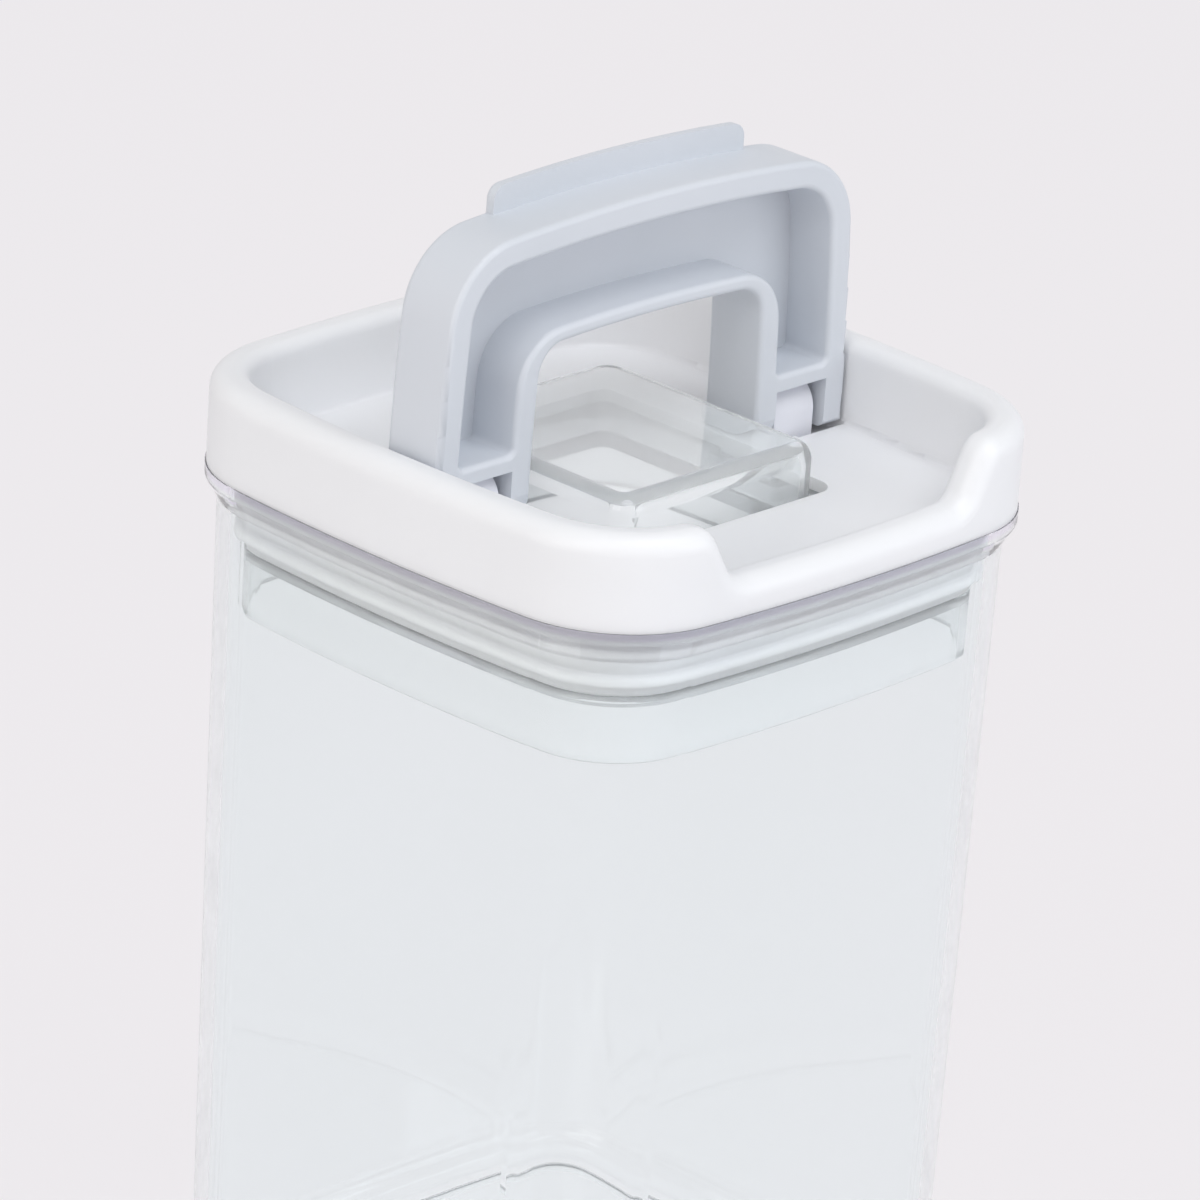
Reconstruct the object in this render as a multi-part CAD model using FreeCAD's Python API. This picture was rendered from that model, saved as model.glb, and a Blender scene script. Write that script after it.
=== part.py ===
"""Square clear storage canister with a cam-locked lid.

Millimetres, +Z up, origin on the table under the middle of the container.  The front of the lid, with
the finger notch in its rim, faces -Y, and the handle's hinge runs along X.  Everything is drawn as the
photo shows it: the lid seated on the rim, unlocked, with the handle standing up.
"""
import FreeCAD, Part
import math
import os
from FreeCAD import Vector

# Shared outline of the lid, seen from above: a square with bowed sides and round corners
LID_WIDTH = 101.6
LID_BOW = 3.4
LID_CORNER = 20.2

# Container
RIM_HEIGHT = 144.0
LIP_PROUD = 0.2
LIP_FACE = 1.8
LIP_SLOPE = 3.4
LIP_ROUND = 0.5
WALL_INSET = 1.8
BODY_WALL = 2.2
BODY_DRAFT_DEGREES = 0.74
BODY_FLOOR = 2.6
BASE_ROUND = 5.0
FLOOR_ROUND = 4.0
FOOT_HEIGHT = 1.6
FOOT_FLAT = 2.5
FOOT_ROUND = 0.6

# Lid cover: a hollow rim around a sunk floor
COVER_RISE = 14.8
COVER_WALL = 2.2
COVER_FLOOR = 2.0
RIM_BAND = 6.1
RIM_OUTER_ROUND = 3.0
RIM_INNER_ROUND = 2.0
RECESS_FLOOR = 1.4
RECESS_ROUND = 0.8
MOUTH_GAP = 0.6
WINDOW_LENGTH = 50.0
WINDOW_LEDGE = 1.15
WINDOW_CORNER = 3.5
NOTCH_SILL = 5.5
NOTCH_FLARE = 5.0
NOTCH_LOW_ROUND = 4.0
NOTCH_TOP_ROUND = 4.5

# Hinge and cam
PIVOT_Y = -0.4
PIVOT_RISE = 3.3
PIN_RADIUS = 1.5
PIN_FIT = 0.05
PIN_RECESS = 0.5
PIN_BITE = 2.4
PIN_END_GAP = 0.2
LOCK_LIFT = 3.15
CAM_GAP = 0.25
CAM_PROUD = 0.1
CAM_POINTS = 13
TOE_ROUND = 1.5
TOE_GAP = 0.3

# Handle
HANDLE_SIDE_GAP = 0.5
HANDLE_END_GAP = 0.9
HANDLE_BACK = 5.3
HANDLE_SHOULDER = 13.0
HANDLE_CROWN_RADIUS = 360.0
HANDLE_OUTER_WALL = 4.5
HANDLE_TOP_WALL = 4.4
HANDLE_INNER_WALL = 4.2
HANDLE_ARCH_WALL = 2.4
HANDLE_WEB = 2.4
CHANNEL_WIDTH = 11.1
CHANNEL_DEPTH = 12.4
CHANNEL_CORNER = 1.0
OPENING_ROUND = 5.0
BRIDGE_GAP = 0.3
BRIDGE_THICKNESS = 2.6
HANDLE_EDGE_ROUND = 0.9
HANDLE_BACK_ROUND = 1.3
TAB_WIDTH = 53.4
TAB_HEIGHT = 4.3
TAB_THICKNESS = 2.3
TAB_CORNER = 2.5
TAB_GAP = 0.7

# Hinge posts, which stand on the plug
POST_RADIUS = 4.9
POST_SIDE_GAP = 1.2
POST_SLOT_GAP = 0.6
POST_SOCKET_GAP = 0.1
POST_FLANGE = 2.5
POST_FLANGE_SIDE = 1.0
POST_FLANGE_END = 2.0

# Inner plug and its seal
PLUG_WALL = 2.0
PLUG_DECK = 2.2
PLUG_DECK_GAP = 0.75
PLUG_DEPTH = 22.9
PLUG_SIDE_GAP = 2.2
PLUG_EDGE_ROUND = 0.8
SEAL_HEIGHT = 11.2
SEAL_GROOVE = 2.0
SEAL_TOP_GAP = 0.4
SEAL_FIT = 0.05
SEAL_WALL_GAP = 0.4
SEAL_LIP = 2.4
SEAL_LIP_ROUND = 1.0
SEAL_LIP_PITCH = 5.6
BOX_RISE = 8.5
BOX_LENGTH = 46.0
BOX_SIDE_GAP = 1.5
BOX_CORNER = 4.2
BOX_INNER_CORNER = 2.2
BOX_TOP_ROUND = 3.0

# How far cutting blocks reach past a face, and how near two places count as one
OVERSHOOT = 1.0
SAME_PLACE = 0.001

# Sizes that follow from the ones above
HALF_LID = LID_WIDTH / 2
SIDE_RADIUS = (HALF_LID ** 2 + LID_BOW ** 2) / (2 * LID_BOW)
SIDE_CENTRE = SIDE_RADIUS - HALF_LID
BODY_DRAFT = math.tan(math.radians(BODY_DRAFT_DEGREES))
COVER_TOP = RIM_HEIGHT + COVER_RISE
FLOOR_TOP = RIM_HEIGHT + RECESS_FLOOR
FLOOR_BOTTOM = FLOOR_TOP - COVER_FLOOR
MOUTH_INSET = WALL_INSET + BODY_WALL
HALF_RECESS = HALF_LID - RIM_BAND

FOLD_ANGLE = math.pi / 2
CAM_GROWTH = LOCK_LIFT / FOLD_ANGLE
PIVOT_Z = FLOOR_TOP + PIVOT_RISE
CAM_SMALL = PIVOT_RISE - CAM_GAP
CAM_LARGE = CAM_SMALL + LOCK_LIFT

HALF_HANDLE = HALF_RECESS - HANDLE_SIDE_GAP
HANDLE_REACH = HALF_RECESS + PIVOT_Y - HANDLE_END_GAP
HANDLE_TOP = PIVOT_Z + HANDLE_REACH
HANDLE_FRONT_Y = PIVOT_Y - CAM_LARGE + CAM_PROUD
HANDLE_BACK_Y = PIVOT_Y + HANDLE_BACK
HALF_CHANNEL = HALF_HANDLE - HANDLE_OUTER_WALL
HALF_ARCH = HALF_CHANNEL - CHANNEL_WIDTH
HALF_OPENING = HALF_ARCH - HANDLE_INNER_WALL
CHANNEL_TOP = HANDLE_TOP - HANDLE_TOP_WALL
ARCH_TOP = CHANNEL_TOP - CHANNEL_DEPTH
OPENING_TOP = ARCH_TOP - HANDLE_ARCH_WALL
FORK_MIDDLE = (HALF_ARCH + HALF_CHANNEL) / 2
BRIDGE_BOTTOM = PIVOT_Z + POST_RADIUS + BRIDGE_GAP
BRIDGE_TOP = BRIDGE_BOTTOM + BRIDGE_THICKNESS

DECK_TOP = FLOOR_BOTTOM - LOCK_LIFT - PLUG_DECK_GAP
DECK_BOTTOM = DECK_TOP - PLUG_DECK
SEAL_TOP = FLOOR_BOTTOM - SEAL_TOP_GAP
SHOULDER_TOP = SEAL_TOP - SEAL_HEIGHT
PLUG_BOTTOM = RIM_HEIGHT - PLUG_DEPTH
SKIRT_INSET = MOUTH_INSET + PLUG_SIDE_GAP
NECK_INSET = SKIRT_INSET + SEAL_GROOVE
HALF_WINDOW_X = HALF_OPENING - WINDOW_LEDGE
HALF_BOX_X = HALF_WINDOW_X - BOX_SIDE_GAP


def outline(inset, z):
    """The lid's outline moved in by a distance, as a closed wire of side arcs and corner arcs."""
    reach = SIDE_RADIUS - LID_CORNER
    corner = (math.sqrt(2 * reach ** 2 - SIDE_CENTRE ** 2) - SIDE_CENTRE) / 2
    turn = math.atan2(corner, corner + SIDE_CENTRE)
    side = SIDE_RADIUS - inset
    radius = LID_CORNER - inset
    edges = []
    for quarter in range(4):
        around = quarter * math.pi / 2
        edges.append(flat_arc(-SIDE_CENTRE, 0, side, -turn, turn, around, z))
        edges.append(flat_arc(corner, corner, radius, turn, math.pi / 2 - turn, around, z))
    return Part.Wire(edges)


def flat_arc(x, y, radius, start, end, around, z):
    """A level arc about (x, y), turned about the middle of the lid."""
    points = []
    for angle in (start, (start + end) / 2, end):
        u = x + radius * math.cos(angle)
        v = y + radius * math.sin(angle)
        points.append(Vector(u * math.cos(around) - v * math.sin(around),
                             u * math.sin(around) + v * math.cos(around), z))
    return Part.Arc(*points).toShape()


def slab(inset, low, high):
    """A block of the lid's outline between two heights."""
    return Part.Face(outline(inset, low)).extrude(Vector(0, 0, high - low))


def taper(low_inset, low, high_inset, high):
    """A block that runs straight from one outline to another."""
    return Part.makeLoft([outline(low_inset, low), outline(high_inset, high)], True, True)


def box(x, y, z):
    """A box from three (low, high) pairs."""
    return Part.makeBox(x[1] - x[0], y[1] - y[0], z[1] - z[0], Vector(x[0], y[0], z[0]))


def round_box(half_x, half_y, corner, low, high):
    """An upright block with round corners, about the middle of the lid."""
    block = box((-half_x, half_x), (-half_y, half_y), (low, high))
    return block.makeFillet(corner, [edge for edge in block.Edges if is_upright(edge)])


def is_upright(edge):
    return abs(edge.BoundBox.ZLength - edge.Length) < SAME_PLACE


def is_flat(edge):
    return edge.BoundBox.ZLength < SAME_PLACE


def is_level(edge, z):
    return abs(edge.BoundBox.ZMin - z) < SAME_PLACE and abs(edge.BoundBox.ZMax - z) < SAME_PLACE


def is_across(edge):
    return abs(edge.BoundBox.YLength - edge.Length) < SAME_PLACE


def in_plane_y(edge, y):
    return abs(edge.BoundBox.YMin - y) < SAME_PLACE and abs(edge.BoundBox.YMax - y) < SAME_PLACE


def rounded_wire(corners, place):
    """A closed wire from (u, v, radius) corners, put in space by place(u, v)."""
    starts = []
    ends = []
    middles = []
    count = len(corners)
    for index, (u, v, radius) in enumerate(corners):
        before = unit(corners[index - 1], (u, v))
        after = unit((u, v), corners[(index + 1) % count])
        half_turn = math.acos(max(-1.0, min(1.0, before[0] * after[0] + before[1] * after[1]))) / 2
        cut = radius * math.tan(half_turn)
        starts.append((u - before[0] * cut, v - before[1] * cut))
        ends.append((u + after[0] * cut, v + after[1] * cut))
        inward = (after[0] - before[0], after[1] - before[1])
        size = math.hypot(*inward)
        sag = radius / math.cos(half_turn) - radius
        middles.append((u + inward[0] / size * sag, v + inward[1] / size * sag))
    edges = []
    for index in range(count):
        if corners[index][2] > 0:
            arc = [place(*points[index]) for points in (starts, middles, ends)]
            edges.append(Part.Arc(*arc).toShape())
        edges.append(Part.makeLine(place(*ends[index]), place(*starts[(index + 1) % count])))
    return Part.Wire(edges)


def unit(start, end):
    u = end[0] - start[0]
    v = end[1] - start[1]
    size = math.hypot(u, v)
    return u / size, v / size


def arch(half, top, shoulder, crown, low, y):
    """An upright arch in an XZ plane: legs bowed like the lid's sides, round shoulders, a crowned top."""
    leg_centre = Vector(-SIDE_CENTRE, y, PIVOT_Z + PIVOT_Y)
    leg = half + SIDE_CENTRE
    crown_centre = Vector(0, y, top - crown)
    bend_centre = meeting_point(leg_centre, leg - shoulder, crown_centre, crown - shoulder)
    leg_end = bend_centre - leg_centre
    crown_end = bend_centre - crown_centre
    leg_start = math.asin((low - leg_centre.z) / leg)
    leg_stop = math.atan2(leg_end.z, leg_end.x)
    crown_stop = math.atan2(crown_end.z, crown_end.x)

    def at(centre, radius, angle):
        return centre + Vector(radius * math.cos(angle), 0, radius * math.sin(angle))

    right = [
        at(leg_centre, leg, leg_start),
        at(leg_centre, leg, (leg_start + leg_stop) / 2),
        at(leg_centre, leg, leg_stop),
        at(bend_centre, shoulder, (leg_stop + crown_stop) / 2),
        at(crown_centre, crown, crown_stop),
    ]
    left = [Vector(-point.x, y, point.z) for point in right]
    edges = [
        Part.Arc(*right[:3]).toShape(),
        Part.Arc(*right[2:]).toShape(),
        Part.Arc(right[4], Vector(0, y, top), left[4]).toShape(),
        Part.Arc(*reversed(left[2:])).toShape(),
        Part.Arc(*reversed(left[:3])).toShape(),
        Part.makeLine(left[0], right[0]),
    ]
    return Part.Wire(edges)


def meeting_point(first, first_radius, second, second_radius):
    """The upper right point where two circles in an XZ plane cross."""
    across = second - first
    apart = across.Length
    along = (first_radius ** 2 - second_radius ** 2 + apart ** 2) / (2 * apart)
    aside = math.sqrt(first_radius ** 2 - along ** 2)
    across.normalize()
    return first + across * along + Vector(-across.z, 0, across.x) * aside


def arch_block(half, top, shoulder, crown, low, front, back):
    """The arch pushed back from one Y plane to another."""
    return Part.Face(arch(half, top, shoulder, crown, low, front)).extrude(Vector(0, back - front, 0))


def body_inset(z, start):
    """How far the drafted wall has moved in at a height."""
    return start + BODY_DRAFT * (RIM_HEIGHT - z)


def container_body():
    floor = FOOT_HEIGHT + BODY_FLOOR
    outside = taper(body_inset(0, WALL_INSET), 0, WALL_INSET, RIM_HEIGHT)
    outside = outside.makeFillet(BASE_ROUND, [edge for edge in outside.Edges if is_level(edge, 0)])
    lip_low = RIM_HEIGHT - LIP_FACE
    slope_low = lip_low - LIP_SLOPE
    slope = taper(body_inset(slope_low, WALL_INSET), slope_low, -LIP_PROUD, lip_low)
    lip = slope.fuse(slab(-LIP_PROUD, lip_low, RIM_HEIGHT))
    lip = lip.makeFillet(LIP_ROUND, [edge for edge in lip.Edges if is_level(edge, lip_low)])
    high = RIM_HEIGHT + OVERSHOOT
    inside = taper(body_inset(floor, MOUTH_INSET), floor, body_inset(high, MOUTH_INSET), high)
    inside = inside.makeFillet(FLOOR_ROUND, [edge for edge in inside.Edges if is_level(edge, floor)])
    hollow = slab(body_inset(0, WALL_INSET) + BASE_ROUND + FOOT_FLAT, -OVERSHOOT, FOOT_HEIGHT)
    hollow = hollow.makeFillet(FOOT_ROUND, [edge for edge in hollow.Edges if is_level(edge, FOOT_HEIGHT)])
    return outside.fuse(lip).cut(inside).cut(hollow)


def notch_block(wall):
    """The finger notch in the front of the rim, or the skin around it when wall is not zero."""
    rise = COVER_RISE - NOTCH_SILL
    level = RIM_HEIGHT + NOTCH_SILL
    slope = math.hypot(NOTCH_FLARE, rise)
    folded_tab = PIVOT_RISE + LOCK_LIFT + RECESS_FLOOR + HANDLE_BACK - TAB_THICKNESS - NOTCH_SILL
    low = TAB_WIDTH / 2 + TAB_GAP - NOTCH_FLARE * folded_tab / rise
    shift = wall * slope / rise
    drop = NOTCH_FLARE * wall / rise
    low_x = low + shift - drop
    top_x = low_x + NOTCH_FLARE * (rise + wall) / rise
    far = HALF_LID
    ceiling = COVER_TOP + OVERSHOOT
    corners = [
        (far, ceiling, 0), (-far, ceiling, 0), (-far, COVER_TOP, 0),
        (-top_x, COVER_TOP, NOTCH_TOP_ROUND - wall), (-low_x, level - wall, NOTCH_LOW_ROUND + wall),
        (low_x, level - wall, NOTCH_LOW_ROUND + wall), (top_x, COVER_TOP, NOTCH_TOP_ROUND - wall),
        (far, COVER_TOP, 0),
    ]
    front = -HALF_LID - OVERSHOOT
    depth = HALF_LID + OVERSHOOT
    wire = rounded_wire(corners, lambda u, v: Vector(u, front, v))
    return Part.Face(wire).extrude(Vector(0, depth, 0))


def lid_cover():
    shell = slab(0, RIM_HEIGHT, COVER_TOP)
    recess = slab(RIM_BAND, FLOOR_TOP, COVER_TOP + OVERSHOOT)
    recess = recess.makeFillet(RECESS_ROUND, [edge for edge in recess.Edges if is_level(edge, FLOOR_TOP)])
    shell = shell.cut(recess).cut(notch_block(0))
    outer = [edge for edge in shell.Edges if is_rim_edge(edge, 0)]
    shell = shell.makeFillet(RIM_OUTER_ROUND, outer)
    inner = [edge for edge in shell.Edges if is_rim_edge(edge, RIM_BAND)]
    shell = shell.makeFillet(RIM_INNER_ROUND, inner)
    mouth = MOUTH_INSET + MOUTH_GAP
    hollow = slab(COVER_WALL, RIM_HEIGHT - OVERSHOOT, COVER_TOP - COVER_WALL)
    hollow = hollow.cut(slab(mouth, RIM_HEIGHT - 2 * OVERSHOOT, COVER_TOP))
    hollow = hollow.cut(notch_block(COVER_WALL))
    cover = shell.fuse(slab(mouth, FLOOR_BOTTOM, RIM_HEIGHT)).cut(hollow)
    window = round_box(HALF_WINDOW_X, WINDOW_LENGTH / 2, WINDOW_CORNER, FLOOR_BOTTOM - OVERSHOOT, PIVOT_Z)
    cover = cover.cut(window)
    for side in (-1, 1):
        cover = cover.cut(post_slot(side, POST_SLOT_GAP, FLOOR_BOTTOM - OVERSHOOT, PIVOT_Z))
        cover = cover.cut(toe_pocket(side))
    return cover.removeSplitter()


def is_rim_edge(edge, inset):
    """True for the edges where the rim's top or the notch meets a wall of the lid's outline."""
    if edge.BoundBox.ZMin < RIM_HEIGHT + NOTCH_SILL - SAME_PLACE:
        return False
    wall = Part.Face(outline(inset, RIM_HEIGHT)).extrude(Vector(0, 0, COVER_RISE)).Shells[0]
    middle = edge.valueAt((edge.FirstParameter + edge.LastParameter) / 2)
    ends = [edge.valueAt(edge.FirstParameter), edge.valueAt(edge.LastParameter)]
    return all(wall_distance(wall, point) < SAME_PLACE for point in ends + [middle])


def wall_distance(wall, point):
    """Distance from a point to the upright faces of a shell."""
    spot = Part.Vertex(point)
    return min(face.distToShape(spot)[0] for face in wall.Faces if face.BoundBox.ZLength > OVERSHOOT)


def post_slot(side, gap, low, high):
    """The upright slot that a hinge post passes through."""
    near = HALF_ARCH + POST_SIDE_GAP - gap
    far = HALF_CHANNEL - POST_SIDE_GAP + gap
    across = sorted((side * near, side * far))
    reach = POST_RADIUS + gap
    return box(across, (PIVOT_Y - reach, PIVOT_Y + reach), (low, high))


def inner_plug():
    skirt = slab(SKIRT_INSET, PLUG_BOTTOM, SHOULDER_TOP)
    skirt = skirt.makeFillet(PLUG_EDGE_ROUND, [edge for edge in skirt.Edges if is_flat(edge)])
    plug = skirt.fuse(slab(NECK_INSET, SHOULDER_TOP - PLUG_WALL, DECK_TOP))
    half_box_y = BOX_LENGTH / 2
    box_top = RIM_HEIGHT + BOX_RISE
    raised = round_box(HALF_BOX_X, half_box_y, BOX_CORNER, DECK_BOTTOM, box_top)
    raised = raised.makeFillet(BOX_TOP_ROUND, [edge for edge in raised.Edges if is_level(edge, box_top)])
    plug = plug.fuse(raised)
    plug = plug.cut(slab(SKIRT_INSET + PLUG_WALL, PLUG_BOTTOM - OVERSHOOT, SHOULDER_TOP - PLUG_WALL))
    plug = plug.cut(slab(NECK_INSET + PLUG_WALL, SHOULDER_TOP - PLUG_WALL - OVERSHOOT, DECK_BOTTOM))
    inside = round_box(HALF_BOX_X - PLUG_WALL, half_box_y - PLUG_WALL, BOX_INNER_CORNER,
                       DECK_BOTTOM - OVERSHOOT, box_top - PLUG_WALL)
    plug = plug.cut(inside)
    for side in (-1, 1):
        plug = plug.cut(post_slot(side, POST_SOCKET_GAP, DECK_BOTTOM - OVERSHOOT, DECK_TOP + OVERSHOOT))
    return plug.removeSplitter()


def seal_gasket():
    """A sleeve around the plug's neck with two round lips that face the container's wall."""
    seal = slab(SKIRT_INSET, SHOULDER_TOP, SEAL_TOP)
    middle = (SHOULDER_TOP + SEAL_TOP) / 2
    for step in (-0.5, 0.5):
        centre = middle + step * SEAL_LIP_PITCH
        low = centre - SEAL_LIP / 2
        high = centre + SEAL_LIP / 2
        lip = slab(body_inset(low, MOUTH_INSET) + SEAL_WALL_GAP, low, high)
        lip = lip.makeFillet(SEAL_LIP_ROUND, [edge for edge in lip.Edges if is_flat(edge)])
        seal = seal.fuse(lip)
    bore = slab(NECK_INSET - SEAL_FIT, SHOULDER_TOP - OVERSHOOT, SEAL_TOP + OVERSHOOT)
    return seal.cut(bore).removeSplitter()


def cam_profile():
    """The inner cheeks' underside: a flat heel, then a spiral that grows steadily as the handle folds."""
    points = []
    for step in range(CAM_POINTS):
        angle = FOLD_ANGLE * step / (CAM_POINTS - 1)
        radius = CAM_SMALL + CAM_GROWTH * angle
        y = -radius * math.sin(angle) - CAM_GROWTH * math.cos(angle)
        z = -radius * math.cos(angle) + CAM_GROWTH * math.sin(angle)
        points.append(Vector(0, PIVOT_Y + y, PIVOT_Z + z))
    spiral = Part.BSplineCurve()
    spiral.interpolate(points)
    return foot_profile(points[0], spiral.toShape(), points[-1])


def toe_profile():
    """The outer cheeks' underside: flat, with a round toe at the front."""
    centre = Vector(0, PIVOT_Y - CAM_LARGE + TOE_ROUND, PIVOT_Z - CAM_SMALL + TOE_ROUND)
    bend = TOE_ROUND * math.sqrt(0.5)
    flat = centre - Vector(0, 0, TOE_ROUND)
    front = centre - Vector(0, TOE_ROUND, 0)
    return foot_profile(flat, Part.Arc(flat, centre - Vector(0, bend, bend), front).toShape(), front)


def foot_profile(heel, curve, toe):
    """A level line from behind the handle to the heel, the curve, and a level line out to the front."""
    back = Vector(0, HANDLE_BACK_Y + OVERSHOOT, heel.z)
    front = Vector(0, HANDLE_FRONT_Y - 2 * OVERSHOOT, toe.z)
    return [Part.makeLine(back, heel), curve, Part.makeLine(toe, front)]


def under_foot(profile, near, far):
    """The space under a foot's profile, between two X planes."""
    low = FLOOR_TOP - 2 * OVERSHOOT
    begin = profile[0].Vertexes[0].Point
    finish = profile[-1].Vertexes[-1].Point
    corners = [finish, Vector(0, finish.y, low), Vector(0, begin.y, low), begin]
    sides = [Part.makeLine(*pair) for pair in zip(corners, corners[1:])]
    face = Part.Face(Part.Wire(profile + sides))
    face.translate(Vector(near, 0, 0))
    return face.extrude(Vector(far - near, 0, 0))


def toe_dip():
    """How far the round toe reaches below the lid's floor on its way over."""
    ahead = CAM_LARGE - TOE_ROUND
    below = CAM_SMALL - TOE_ROUND
    deepest = math.acos(CAM_GROWTH / math.hypot(ahead, below)) - math.atan2(below, ahead)
    reach = below * math.cos(deepest) + ahead * math.sin(deepest) + TOE_ROUND
    return reach - PIVOT_RISE - CAM_GROWTH * deepest


def toe_pocket(side):
    """The shallow pocket in the lid's floor that an outer cheek's toe swings through."""
    across = sorted((side * FORK_MIDDLE, side * (HALF_HANDLE + TOE_GAP)))
    along = (HANDLE_FRONT_Y - TOE_GAP, PIVOT_Y + POST_RADIUS + POST_SLOT_GAP)
    return box(across, along, (FLOOR_TOP - toe_dip() - TOE_GAP, FLOOR_TOP + RECESS_ROUND))


def handle():
    low = FLOOR_TOP - OVERSHOOT
    solid = arch_block(HALF_HANDLE, HANDLE_TOP, HANDLE_SHOULDER, HANDLE_CROWN_RADIUS, low,
                       HANDLE_FRONT_Y, HANDLE_BACK_Y)
    solid = solid.fuse(handle_tab())
    arch_round = OPENING_ROUND + HANDLE_INNER_WALL
    opening = arch_block(HALF_OPENING, OPENING_TOP, OPENING_ROUND, HANDLE_CROWN_RADIUS, low - OVERSHOOT,
                         HANDLE_FRONT_Y - OVERSHOOT, HANDLE_BACK_Y + OVERSHOOT)
    channel = arch_block(HALF_CHANNEL, CHANNEL_TOP, HANDLE_SHOULDER - HANDLE_OUTER_WALL,
                         HANDLE_CROWN_RADIUS, BRIDGE_TOP, HANDLE_FRONT_Y - OVERSHOOT,
                         HANDLE_BACK_Y - HANDLE_WEB)
    core = arch_block(HALF_ARCH, ARCH_TOP, arch_round, HANDLE_CROWN_RADIUS, low,
                      HANDLE_FRONT_Y - 2 * OVERSHOOT, HANDLE_BACK_Y)
    channel = channel.cut(core)
    ends = [edge for edge in channel.Edges if is_bridge_corner(edge)]
    channel = channel.makeFillet(CHANNEL_CORNER, ends)
    solid = solid.cut(opening).cut(channel)
    for y, radius in ((HANDLE_BACK_Y, HANDLE_BACK_ROUND), (HANDLE_FRONT_Y, HANDLE_EDGE_ROUND)):
        rims = [edge for edge in solid.Edges if in_plane_y(edge, y) and edge.BoundBox.ZMax > FLOOR_TOP]
        solid = solid.makeFillet(radius, rims)
    solid = solid.cut(under_foot(cam_profile(), -FORK_MIDDLE, FORK_MIDDLE))
    for side in (-1, 1):
        outer = sorted((side * FORK_MIDDLE, side * HALF_LID))
        solid = solid.cut(under_foot(toe_profile(), *outer))
        across = sorted((side * HALF_ARCH, side * HALF_CHANNEL))
        fork = box(across, (HANDLE_FRONT_Y - OVERSHOOT, HANDLE_BACK_Y + OVERSHOOT), (low, BRIDGE_BOTTOM))
        solid = solid.cut(fork)
        bore_start = HALF_ARCH - PIN_BITE
        solid = solid.cut(cross_pin(side, bore_start, HALF_HANDLE + OVERSHOOT, PIN_RADIUS + PIN_FIT))
    return solid


def handle_tab():
    """The finger tab along the handle's top, flush with its back."""
    front = HANDLE_BACK_Y - TAB_THICKNESS
    top = HANDLE_TOP + TAB_HEIGHT
    tab = arch_block(HALF_HANDLE, top, HANDLE_SHOULDER, HANDLE_CROWN_RADIUS, CHANNEL_TOP,
                     front, HANDLE_BACK_Y)
    half = TAB_WIDTH / 2
    tab = tab.common(box((-half, half), (front, HANDLE_BACK_Y), (CHANNEL_TOP, top + OVERSHOOT)))
    corners = [edge for edge in tab.Edges if edge.BoundBox.ZMin > HANDLE_TOP and is_across(edge)]
    return tab.makeFillet(TAB_CORNER, corners)


def is_bridge_corner(edge):
    """True for the front-to-back edges where the channel meets a bridge."""
    return is_level(edge, BRIDGE_TOP) and is_across(edge)


def cross_pin(side, near, far, radius):
    """A cylinder along the hinge axis between two distances from the middle."""
    start = Vector(side * near, PIVOT_Y, PIVOT_Z)
    return Part.makeCylinder(radius, far - near, start, Vector(side, 0, 0))


def hinge_post(side):
    """A round-topped post that comes up through the plug's deck, held by a flange under the deck."""
    near = HALF_ARCH + POST_SIDE_GAP
    far = HALF_CHANNEL - POST_SIDE_GAP
    post = post_slot(side, 0, DECK_BOTTOM, PIVOT_Z)
    post = post.fuse(cross_pin(side, near, far, POST_RADIUS))
    ledge = POST_FLANGE_SIDE
    across = sorted((side * (near - ledge), side * (far + ledge)))
    reach = POST_RADIUS + POST_FLANGE_END
    flange = box(across, (PIVOT_Y - reach, PIVOT_Y + reach), (DECK_BOTTOM - POST_FLANGE, DECK_BOTTOM))
    flange = flange.makeFillet(ledge, [edge for edge in flange.Edges if is_upright(edge)])
    post = post.fuse(flange).cut(cross_pin(side, near - ledge, far + ledge, PIN_RADIUS))
    return post.removeSplitter()


def hinge_pin(side):
    near = HALF_ARCH - PIN_BITE + PIN_END_GAP
    far = HALF_HANDLE - PIN_RECESS
    return cross_pin(side, near, far, PIN_RADIUS)


def save(name, shape):
    if not shape.isValid():
        raise ValueError(name + " is not a valid solid")
    solids = shape.Solids
    print(name, len(solids), "solid", round(shape.Volume / 1000, 2), "cm3")
    shape.exportStep(os.path.join("parts", name + ".step"))


def main():
    os.makedirs("parts", exist_ok=True)
    save("container_body", container_body())
    save("lid_cover", lid_cover())
    save("inner_plug", inner_plug())
    save("seal_gasket", seal_gasket())
    save("lever_handle", handle())
    for name, side in (("left", -1), ("right", 1)):
        save("hinge_post_" + name, hinge_post(side))
        save("hinge_pin_" + name, hinge_pin(side))


main()
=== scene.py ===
"""Looks for the square canister with a flip-lock lid: materials, the soft seal, light and camera.

Metres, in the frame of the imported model: +Z is up, the finger notch faces -Y and the handle's hinge runs
along X.
"""
import math

import bmesh
import bpy
from mathutils import Matrix, Vector


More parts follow.
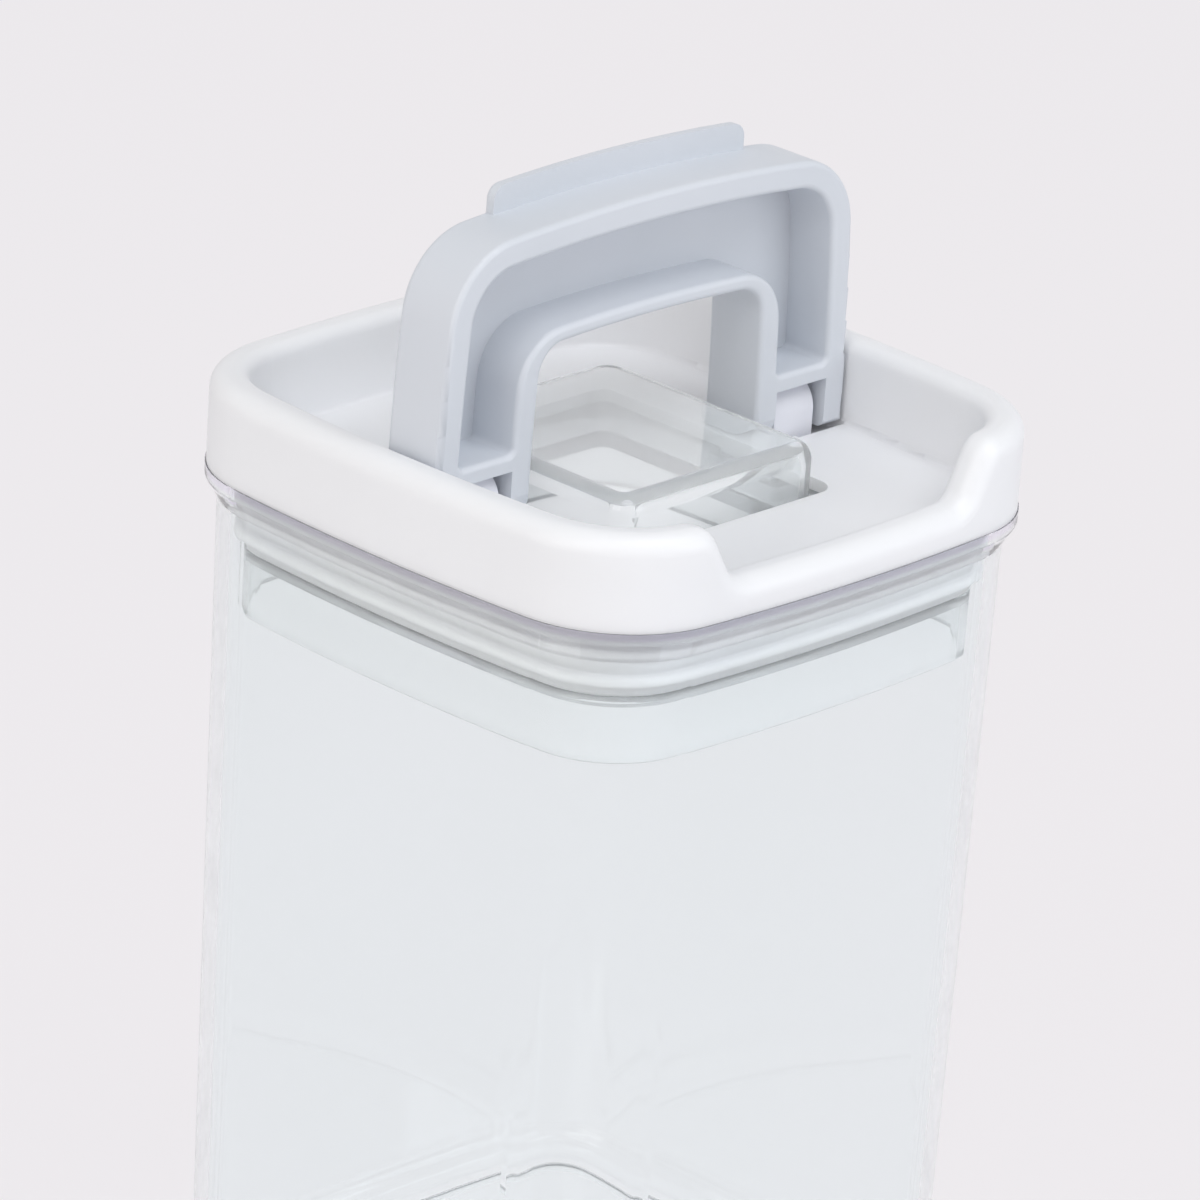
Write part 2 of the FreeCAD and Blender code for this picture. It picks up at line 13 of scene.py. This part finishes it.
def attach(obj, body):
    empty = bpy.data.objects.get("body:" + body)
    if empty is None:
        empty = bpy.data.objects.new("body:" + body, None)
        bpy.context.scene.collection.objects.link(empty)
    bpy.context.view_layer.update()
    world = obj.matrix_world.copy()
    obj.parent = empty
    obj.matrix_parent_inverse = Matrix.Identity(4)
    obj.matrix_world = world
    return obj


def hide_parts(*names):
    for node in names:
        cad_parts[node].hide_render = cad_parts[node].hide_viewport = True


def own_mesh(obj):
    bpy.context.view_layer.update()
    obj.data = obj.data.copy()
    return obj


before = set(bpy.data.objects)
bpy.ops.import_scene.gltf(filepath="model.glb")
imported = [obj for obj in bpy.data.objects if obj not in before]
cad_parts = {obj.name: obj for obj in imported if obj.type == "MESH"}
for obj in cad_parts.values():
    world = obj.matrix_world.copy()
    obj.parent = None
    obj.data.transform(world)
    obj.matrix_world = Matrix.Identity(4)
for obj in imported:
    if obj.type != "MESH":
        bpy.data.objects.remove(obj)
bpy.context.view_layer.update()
scene = bpy.context.scene

# The lid's outline, which the seal's sleeve follows: a square with bowed sides and round corners
HALF_LID = 0.0508
SIDE_BOW = 0.0034
CORNER_RADIUS = 0.0202
SIDE_COUNT = 4
SIDE_STEPS = 25
CORNER_STEPS = 17
QUARTER_TURN = math.pi / 2
MERGE_DISTANCE = 0.00001

# The seal's section, as insets from the lid's outline and heights
SEAL_LOW = 0.1318
SEAL_HIGH = 0.1430
SEAL_BORE_INSET = 0.00815
SEAL_SLEEVE_INSET = 0.0062
SEAL_LIP_INSET = 0.00458
SEAL_LIP_THICKNESS = 0.0021
SEAL_LIP_PITCH = 0.0056
SEAL_LIP_POINTS = 11
SEAL_LIP_FULLNESS = 0.6
SEAL_EDGE_ROUND = 0.0005

# The part of the noise's range that is spread between two values
NOISE_LOW = 0.3
NOISE_HIGH = 0.7

# Opaque plastic. Noise scales here and below are in features per metre
PLASTIC_FLOW = 22
PLASTIC_GLOSS = 140
PLASTIC_BUMP = 0.25
PLASTIC_IOR = 1.49
PLASTIC_GLOW_DEPTH = 0.003

# Clear plastic, with flow lines drawn out along Z
CLEAR_FLOW = 18
CLEAR_FLOW_STRETCH = (1, 1, 0.35)
CLEAR_GLOSS = 60
CLEAR_BUMP = 0.004
CLEAR_BUMP_DEPTH = 0.0004
CLEAR_IOR = 1.5
CLEAR_SHADOW = (0.975, 0.985, 0.99, 1)
CLEAR_BOUNCES = 24

# A painted violet reflection of the lid's shaded underside, laid on the upper face of the container's lip,
# and the heights between which it comes in
LIP_PAINTED_REFLECTION = (0.91, 0.86, 0.99, 1)
LIP_REFLECTION_LOW = 0.1427
LIP_REFLECTION_HIGH = 0.1431

# Silicone, with dust on it
SILICONE_FLOW = 30
SILICONE_DUST = 900
SILICONE_SMOOTH = 0.34
SILICONE_ROUGH = 0.5
SILICONE_BUMP = 0.2
SILICONE_BUMP_DEPTH = 0.00004
SILICONE_IOR = 1.41
SILICONE_GLOW_DEPTH = 0.004

# Drawn steel, with lines along X
STEEL_LINES = 2600
STEEL_LINE_STRETCH = (0.04, 1, 1)
STEEL_SMOOTH = 0.24
STEEL_ROUGH = 0.42
STEEL_BUMP = 0.2
STEEL_BUMP_DEPTH = 0.00003

# Light that scatters inside a piece goes equally far in red, green and blue
EVEN_GLOW = (1, 1, 1)

# Sockets of the Mix node when it mixes colours
COLOUR_A = 6
COLOUR_B = 7
COLOUR_OUT = 2

# Camera, fitted to the photo: it looks at a point near the rim's middle with a long lens
VIEW_AZIMUTH = math.radians(-46.732)
VIEW_ELEVATION = math.radians(21.984)
VIEW_ROLL = math.radians(3.954)
VIEW_DISTANCE = 1.06382
VIEW_ASIDE = 0.00189
VIEW_ABOVE = 0.01826
VIEW_TARGET = Vector((0, 0, 0.144))
LENS = 210
SENSOR = 36
CLIP_START = 0.05
CLIP_END = 50

# Studio
BACKDROP = (0.862, 0.838, 0.862, 1)
WORLD_FILL = (0.48, 0.48, 0.485, 1)
FLOOR_SIZE = 12.0
FLOOR_PAPER = (0.9, 0.88, 0.9, 1)
FLOOR_ROUGHNESS = 0.9
FLOOR_SHINE = 0.1
FLOOR_SHADE_SHARE = 0.08
LAMP_AIM = Vector((0, 0, 0.13))


def srgb(red, green, blue):
    """A scene-linear colour from three display values of 0 to 255."""
    shares = [value / 255 for value in (red, green, blue)]
    linear = [s / 12.92 if s <= 0.04045 else ((s + 0.055) / 1.055) ** 2.4 for s in shares]
    return (*linear, 1.0)


def join(tree, start, start_socket, end, end_socket):
    """Links an output of one node to an input of another, each by name or number."""
    tree.links.new(start.outputs[start_socket], end.inputs[end_socket])


def new_material(name):
    """A material with its Principled shader, and the tree to build in."""
    material = bpy.data.materials.new(name)
    material.use_nodes = True
    tree = material.node_tree
    return material, tree, tree.nodes["Principled BSDF"]


def blend(tree, factor, factor_socket, first, second, output):
    """Mixes two shaders by a factor and gives the result to the output node."""
    mix = tree.nodes.new("ShaderNodeMixShader")
    join(tree, factor, factor_socket, mix, 0)
    join(tree, first, 0, mix, 1)
    join(tree, second, 0, mix, 2)
    join(tree, mix, 0, output, "Surface")


def grain(tree, scale, detail, stretch=(1, 1, 1)):
    """Noise on the piece's own coordinates."""
    place = tree.nodes.new("ShaderNodeTexCoord")
    turn = tree.nodes.new("ShaderNodeMapping")
    turn.inputs["Scale"].default_value = stretch
    noise = tree.nodes.new("ShaderNodeTexNoise")
    noise.inputs["Scale"].default_value = scale
    noise.inputs["Detail"].default_value = detail
    join(tree, place, "Object", turn, "Vector")
    join(tree, turn, "Vector", noise, "Vector")
    return noise


def ranged(tree, source, low, high):
    """The noise spread between two values."""
    spread = tree.nodes.new("ShaderNodeMapRange")
    spread.inputs["From Min"].default_value = NOISE_LOW
    spread.inputs["From Max"].default_value = NOISE_HIGH
    spread.inputs["To Min"].default_value = low
    spread.inputs["To Max"].default_value = high
    join(tree, source, "Fac", spread, "Value")
    return spread


def tinted(tree, source, first, second):
    """The noise as a blend of two near colours."""
    ramp = tree.nodes.new("ShaderNodeValToRGB")
    ramp.color_ramp.elements[0].position = NOISE_LOW
    ramp.color_ramp.elements[0].color = first
    ramp.color_ramp.elements[1].position = NOISE_HIGH
    ramp.color_ramp.elements[1].color = second
    join(tree, source, "Fac", ramp, "Fac")
    return ramp


def bumped(tree, source, shader, strength, depth):
    """The noise as a fine relief on the shader's surface."""
    bump = tree.nodes.new("ShaderNodeBump")
    bump.inputs["Strength"].default_value = strength
    bump.inputs["Distance"].default_value = depth
    join(tree, source, "Fac", bump, "Height")
    join(tree, bump, "Normal", shader, "Normal")


def glowing(shader, weight, depth):
    """Lets light scatter inside the material."""
    shader.inputs["Subsurface Weight"].default_value = weight
    shader.inputs["Subsurface Radius"].default_value = EVEN_GLOW
    shader.inputs["Subsurface Scale"].default_value = depth


def moulded_plastic(name, first, second, smooth, rough, texture, depth, glow):
    """Opaque moulded plastic: a faint flow of colour, a fine spark texture and an uneven gloss."""
    material, tree, shader = new_material(name)
    flow = grain(tree, PLASTIC_FLOW, detail=3)
    fine = grain(tree, texture, detail=2)
    gloss = grain(tree, PLASTIC_GLOSS, detail=4)
    join(tree, tinted(tree, flow, first, second), "Color", shader, "Base Color")
    join(tree, ranged(tree, gloss, smooth, rough), "Result", shader, "Roughness")
    bumped(tree, fine, shader, PLASTIC_BUMP, depth)
    shader.inputs["IOR"].default_value = PLASTIC_IOR
    glowing(shader, glow, PLASTIC_GLOW_DEPTH)
    return material


def painted_lip_reflection(tree, colour):
    """Lays a painted violet reflection of the lid's shaded underside over the colour on the upper face of the
    container's lip.
    """
    place = tree.nodes.new("ShaderNodeTexCoord")
    parts = tree.nodes.new("ShaderNodeSeparateXYZ")
    join(tree, place, "Object", parts, "Vector")
    rise = tree.nodes.new("ShaderNodeMapRange")
    rise.inputs["From Min"].default_value = LIP_REFLECTION_LOW
    rise.inputs["From Max"].default_value = LIP_REFLECTION_HIGH
    join(tree, parts, "Z", rise, "Value")
    mix = tree.nodes.new("ShaderNodeMix")
    mix.data_type = "RGBA"
    join(tree, rise, "Result", mix, "Factor")
    join(tree, colour, "Color", mix, COLOUR_A)
    mix.inputs[COLOUR_B].default_value = LIP_PAINTED_REFLECTION
    return mix


def clear_plastic(name, first, second, haze, clearness, lip):
    """Clear moulded plastic that lets the lamps through: a faint tint and soft flow lines."""
    material, tree, shader = new_material(name)
    flow = grain(tree, CLEAR_FLOW, detail=2, stretch=CLEAR_FLOW_STRETCH)
    gloss = grain(tree, CLEAR_GLOSS, detail=3)
    colour = tinted(tree, flow, first, second)
    # On the container's lip, the upper face gets a painted violet reflection of the lid's shaded underside
    if lip:
        join(tree, painted_lip_reflection(tree, colour), COLOUR_OUT, shader, "Base Color")
    else:
        join(tree, colour, "Color", shader, "Base Color")
    join(tree, ranged(tree, gloss, 0.0, haze), "Result", shader, "Roughness")
    bumped(tree, flow, shader, CLEAR_BUMP, CLEAR_BUMP_DEPTH)
    shader.inputs["Transmission Weight"].default_value = clearness
    shader.inputs["IOR"].default_value = CLEAR_IOR
    path = tree.nodes.new("ShaderNodeLightPath")
    through = tree.nodes.new("ShaderNodeBsdfTransparent")
    through.inputs["Color"].default_value = CLEAR_SHADOW
    blend(tree, path, "Is Shadow Ray", shader, through, tree.nodes["Material Output"])
    return material


def soft_silicone():
    """Milky silicone that light scatters in, with a dusty, uneven surface."""
    material, tree, shader = new_material("seal_silicone")
    flow = grain(tree, SILICONE_FLOW, detail=3)
    dust = grain(tree, SILICONE_DUST, detail=3)
    colour = tinted(tree, flow, srgb(242, 242, 246), srgb(247, 247, 250))
    join(tree, colour, "Color", shader, "Base Color")
    join(tree, ranged(tree, dust, SILICONE_SMOOTH, SILICONE_ROUGH), "Result", shader, "Roughness")
    bumped(tree, dust, shader, SILICONE_BUMP, SILICONE_BUMP_DEPTH)
    shader.inputs["IOR"].default_value = SILICONE_IOR
    glowing(shader, 1.0, SILICONE_GLOW_DEPTH)
    return material


def drawn_steel():
    """Plain drawn steel with fine lines along the pin."""
    material, tree, shader = new_material("pin_drawn_steel")
    lines = grain(tree, STEEL_LINES, detail=4, stretch=STEEL_LINE_STRETCH)
    colour = tinted(tree, lines, srgb(186, 188, 192), srgb(214, 216, 219))
    join(tree, colour, "Color", shader, "Base Color")
    join(tree, ranged(tree, lines, STEEL_SMOOTH, STEEL_ROUGH), "Result", shader, "Roughness")
    bumped(tree, lines, shader, STEEL_BUMP, STEEL_BUMP_DEPTH)
    shader.inputs["Metallic"].default_value = 1.0
    return material


def dress(node, material):
    """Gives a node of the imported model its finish."""
    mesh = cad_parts[node].data
    mesh.materials.clear()
    mesh.materials.append(material)


def seal_section():
    """The seal's cut section as a loop of edges: X runs out from the lid's outline and Y runs down."""
    middle = (SEAL_LOW + SEAL_HIGH) / 2
    half = SEAL_LIP_THICKNESS / 2
    edge = SEAL_EDGE_ROUND
    sleeve = SEAL_SLEEVE_INSET
    points = [(SEAL_BORE_INSET, SEAL_LOW), (sleeve + edge, SEAL_LOW), (sleeve, SEAL_LOW + edge)]
    for step in (-0.5, 0.5):
        centre = middle + step * SEAL_LIP_PITCH
        for turn in range(SEAL_LIP_POINTS):
            angle = math.pi * (turn / (SEAL_LIP_POINTS - 1) - 0.5)
            out = math.cos(angle) ** SEAL_LIP_FULLNESS
            points.append((sleeve + (SEAL_LIP_INSET - sleeve) * out, centre + half * math.sin(angle)))
    points += [(sleeve, SEAL_HIGH - edge), (sleeve + edge, SEAL_HIGH), (SEAL_BORE_INSET, SEAL_HIGH)]
    count = len(points)
    mesh = bpy.data.meshes.new("seal_section")
    loop = [(index, (index + 1) % count) for index in range(count)]
    mesh.from_pydata([(-inset, -height, 0) for inset, height in points], loop, [])
    section = bpy.data.objects.new("seal_section", mesh)
    scene.collection.objects.link(section)
    return section


def outline_rule():
    """The lid's outline as the geometry nodes want it: its side arcs, its corner arcs and where they meet."""
    side_radius = (HALF_LID ** 2 + SIDE_BOW ** 2) / (2 * SIDE_BOW)
    side_centre = side_radius - HALF_LID
    reach = side_radius - CORNER_RADIUS
    corner_place = (math.sqrt(2 * reach ** 2 - side_centre ** 2) - side_centre) / 2
    return {
        "Side Radius": side_radius,
        "Side Centre": -side_centre,
        "Corner Radius": CORNER_RADIUS,
        "Corner Place": corner_place,
        "Side Half Angle": math.atan2(corner_place, corner_place + side_centre),
    }


def sleeve_tree(material):
    """Geometry nodes that carry a section round the lid's outline."""
    tree = bpy.data.node_groups.new("seal_sleeve", "GeometryNodeTree")
    face = tree.interface
    face.new_socket("Section", in_out="INPUT", socket_type="NodeSocketGeometry")
    for name in outline_rule():
        face.new_socket(name, in_out="INPUT", socket_type="NodeSocketFloat")
    face.new_socket("Sleeve", in_out="OUTPUT", socket_type="NodeSocketGeometry")
    add = tree.nodes.new
    sizes = add("NodeGroupInput").outputs

    def worked(operation, first, second):
        """The result of a Math node on two values, each an output of another node or a number."""
        node = add("ShaderNodeMath")
        node.operation = operation
        for socket, value in zip(node.inputs, (first, second)):
            if isinstance(value, bpy.types.NodeSocket):
                tree.links.new(value, socket)
            else:
                socket.default_value = value
        return node.outputs[0]

    def arc(radius, start, sweep, steps, x, y=None):
        """An arc of the outline about a centre at x and y."""
        curve = add("GeometryNodeCurveArc")
        curve.inputs["Resolution"].default_value = steps
        tree.links.new(radius, curve.inputs["Radius"])
        tree.links.new(start, curve.inputs["Start Angle"])
        tree.links.new(sweep, curve.inputs["Sweep Angle"])
        place = add("ShaderNodeCombineXYZ")
        tree.links.new(x, place.inputs["X"])
        if y is not None:
            tree.links.new(y, place.inputs["Y"])
        move = add("GeometryNodeTransform")
        join(tree, curve, 0, move, "Geometry")
        join(tree, place, 0, move, "Translation")
        return move

    def after(previous, kind):
        """A node of this kind that takes what the previous node made."""
        node = add(kind)
        join(tree, previous, 0, node, 0)
        return node

    half = sizes["Side Half Angle"]
    corner_place = sizes["Corner Place"]
    spread = worked("MULTIPLY", half, 2)
    bend = worked("SUBTRACT", QUARTER_TURN, spread)
    side = arc(sizes["Side Radius"], worked("MULTIPLY", half, -1), spread, SIDE_STEPS, sizes["Side Centre"])
    corner = arc(sizes["Corner Radius"], half, bend, CORNER_STEPS, corner_place, corner_place)
    quarter = add("GeometryNodeJoinGeometry")
    join(tree, side, 0, quarter, 0)
    join(tree, corner, 0, quarter, 0)

    turns = add("GeometryNodeMeshLine")
    turns.inputs["Count"].default_value = SIDE_COUNT
    turns.inputs["Offset"].default_value = (0, 0, 0)
    index = add("GeometryNodeInputIndex")
    about = add("ShaderNodeCombineXYZ")
    tree.links.new(worked("MULTIPLY", index.outputs[0], QUARTER_TURN), about.inputs["Z"])
    copies = add("GeometryNodeInstanceOnPoints")
    join(tree, turns, 0, copies, "Points")
    join(tree, quarter, 0, copies, "Instance")
    join(tree, about, 0, copies, "Rotation")

    # The four quarters become one closed path, whose normals stay level
    wire = after(after(copies, "GeometryNodeRealizeInstances"), "GeometryNodeCurveToMesh")
    merged = after(wire, "GeometryNodeMergeByDistance")
    merged.inputs["Distance"].default_value = MERGE_DISTANCE
    level = after(after(merged, "GeometryNodeMeshToCurve"), "GeometryNodeSetCurveNormal")
    level.mode = "Z_UP"
    section = add("GeometryNodeMeshToCurve")
    tree.links.new(sizes["Section"], section.inputs[0])
    swept = after(level, "GeometryNodeCurveToMesh")
    join(tree, section, 0, swept, 1)
    painted = after(after(swept, "GeometryNodeRealizeInstances"), "GeometryNodeSetMaterial")
    painted.inputs["Material"].default_value = material
    after(painted, "NodeGroupOutput")
    return tree


def seal_sleeve(material):
    """The soft sleeve round the plug's neck, as a plain mesh in its place."""
    section = seal_section()
    tree = sleeve_tree(material)
    modifier = section.modifiers.new("sleeve", "NODES")
    modifier.node_group = tree
    values = outline_rule()
    for socket in tree.interface.items_tree:
        if socket.in_out == "INPUT" and socket.name in values:
            modifier[socket.identifier] = values[socket.name]
    shaped = section.evaluated_get(bpy.context.evaluated_depsgraph_get())
    mesh = bpy.data.meshes.new_from_object(shaped)
    section.modifiers.remove(modifier)
    bpy.data.objects.remove(section)
    shell = bmesh.new()
    shell.from_mesh(mesh)
    bmesh.ops.remove_doubles(shell, verts=shell.verts, dist=MERGE_DISTANCE)
    bmesh.ops.recalc_face_normals(shell, faces=shell.faces)
    shell.to_mesh(mesh)
    shell.free()
    mesh.shade_smooth()
    mesh.name = "seal_sleeve"
    sleeve = bpy.data.objects.new("seal_sleeve", mesh)
    scene.collection.objects.link(sleeve)
    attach(sleeve, "plug")
    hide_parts("seal_gasket")
    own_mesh(sleeve)


def make_camera():
    """The photo's camera, turned a little about its own line of sight."""
    back = Vector((
        math.sin(VIEW_AZIMUTH) * math.cos(VIEW_ELEVATION),
        -math.cos(VIEW_AZIMUTH) * math.cos(VIEW_ELEVATION),
        math.sin(VIEW_ELEVATION),
    ))
    level = Vector((math.cos(VIEW_AZIMUTH), math.sin(VIEW_AZIMUTH), 0))
    upright = back.cross(level)
    right = level * math.cos(VIEW_ROLL) + upright * math.sin(VIEW_ROLL)
    up = upright * math.cos(VIEW_ROLL) - level * math.sin(VIEW_ROLL)
    data = bpy.data.cameras.new("photo_camera")
    data.lens = LENS
    data.sensor_width = SENSOR
    data.clip_start = CLIP_START
    data.clip_end = CLIP_END
    camera = bpy.data.objects.new("photo_camera", data)
    turn = Matrix((right, up, back)).transposed().to_4x4()
    turn.translation = VIEW_TARGET + back * VIEW_DISTANCE - right * VIEW_ASIDE - up * VIEW_ABOVE
    camera.matrix_world = turn
    scene.collection.objects.link(camera)
    scene.camera = camera


def seen_rays(tree):
    """One for rays that show the backdrop itself: from the camera, a mirror or through glass."""
    path = tree.nodes.new("ShaderNodeLightPath")
    first = tree.nodes.new("ShaderNodeMath")
    first.operation = "MAXIMUM"
    second = tree.nodes.new("ShaderNodeMath")
    second.operation = "MAXIMUM"
    join(tree, path, "Is Camera Ray", first, 0)
    join(tree, path, "Is Glossy Ray", first, 1)
    join(tree, first, 0, second, 0)
    join(tree, path, "Is Transmission Ray", second, 1)
    return second


def make_world():
    """A grey fill light from all sides, and the even backdrop where it is seen."""
    world = bpy.data.worlds.new("studio")
    scene.world = world
    world.use_nodes = True
    tree = world.node_tree
    fill = tree.nodes["Background"]
    fill.inputs["Color"].default_value = WORLD_FILL
    shown = tree.nodes.new("ShaderNodeBackground")
    shown.inputs["Color"].default_value = BACKDROP
    blend(tree, seen_rays(tree), 0, fill, shown, tree.nodes["World Output"])


def make_floor():
    """Pale paper that is seen as the backdrop, with a small share of its own light and shade."""
    mesh = bpy.data.meshes.new("floor")
    half = FLOOR_SIZE / 2
    corners = [(-half, -half, 0), (half, -half, 0), (half, half, 0), (-half, half, 0)]
    mesh.from_pydata(corners, [], [(0, 1, 2, 3)])
    floor = bpy.data.objects.new("floor", mesh)
    scene.collection.objects.link(floor)
    material, tree, shader = new_material("studio_floor")
    shader.inputs["Base Color"].default_value = FLOOR_PAPER
    shader.inputs["Roughness"].default_value = FLOOR_ROUGHNESS
    shader.inputs["Specular IOR Level"].default_value = FLOOR_SHINE
    shown = tree.nodes.new("ShaderNodeEmission")
    shown.inputs["Color"].default_value = BACKDROP
    share = tree.nodes.new("ShaderNodeMath")
    share.operation = "MULTIPLY"
    share.inputs[1].default_value = 1 - FLOOR_SHADE_SHARE
    join(tree, seen_rays(tree), 0, share, 0)
    blend(tree, share, 0, shader, shown, tree.nodes["Material Output"])
    mesh.materials.append(material)


def softbox(name, place, width, height, power, colour):
    """An area lamp that faces the seal below the lid."""
    data = bpy.data.lights.new(name, "AREA")
    data.shape = "RECTANGLE"
    data.size = width
    data.size_y = height
    data.energy = power
    data.color = colour
    lamp = bpy.data.objects.new(name, data)
    lamp.location = place
    aim = LAMP_AIM - Vector(place)
    lamp.rotation_euler = aim.to_track_quat("-Z", "Y").to_euler()
    scene.collection.objects.link(lamp)


# The body's lip carries a painted violet reflection of the lid's shaded underside
clear_body = clear_plastic(
    "clear_body_plastic", (0.953, 0.982, 0.984, 1), (0.963, 0.986, 0.990, 1),
    haze=0.03, clearness=0.97, lip=True,
)
clear_plug = clear_plastic(
    "clear_plug_plastic", (0.965, 0.982, 0.985, 1), (0.975, 0.988, 0.992, 1),
    haze=0.05, clearness=0.82, lip=False,
)
white_cover = moulded_plastic(
    "white_cover_plastic", srgb(243, 243, 245), srgb(247, 247, 249),
    smooth=0.3, rough=0.42, texture=2200, depth=0.00002, glow=0.35,
)
pale_handle = moulded_plastic(
    "pale_handle_plastic", srgb(214, 218, 224), srgb(220, 223, 229),
    smooth=0.32, rough=0.46, texture=2600, depth=0.00003, glow=0.0,
)
white_post = moulded_plastic(
    "white_post_plastic", srgb(236, 237, 244), srgb(242, 242, 248),
    smooth=0.36, rough=0.5, texture=2400, depth=0.00003, glow=0.0,
)
silicone = soft_silicone()
steel = drawn_steel()

dress("container_body", clear_body)
dress("inner_plug", clear_plug)
dress("lid_cover", white_cover)
dress("lever_handle", pale_handle)
for side in ("left", "right"):
    dress("hinge_post_" + side, white_post)
    dress("hinge_pin_" + side, steel)

seal_sleeve(silicone)

make_camera()
make_world()
make_floor()

# Sizes in metres and powers in watts: two cool lamps at the front, two warm ones at the left
softbox("key_softbox", (-0.02, -0.65, 1.35), width=0.9, height=0.9, power=6.2, colour=(0.92, 0.96, 1.0))
softbox("front_softbox", (0.45, -1.1, 0.5), width=0.9, height=0.6, power=2.9, colour=(0.90, 0.95, 1.0))
softbox("left_softbox", (-1.35, 0.1, 0.3), width=1.0, height=0.6, power=2.7, colour=(1.0, 0.98, 0.94))
softbox("side_softbox", (-1.0, -0.35, 0.9), width=0.8, height=0.8, power=2.9, colour=(1.0, 0.985, 0.96))

scene.view_settings.view_transform = "Standard"
scene.cycles.max_bounces = CLEAR_BOUNCES
scene.cycles.transmission_bounces = CLEAR_BOUNCES
scene.cycles.glossy_bounces = CLEAR_BOUNCES
scene.cycles.transparent_max_bounces = CLEAR_BOUNCES
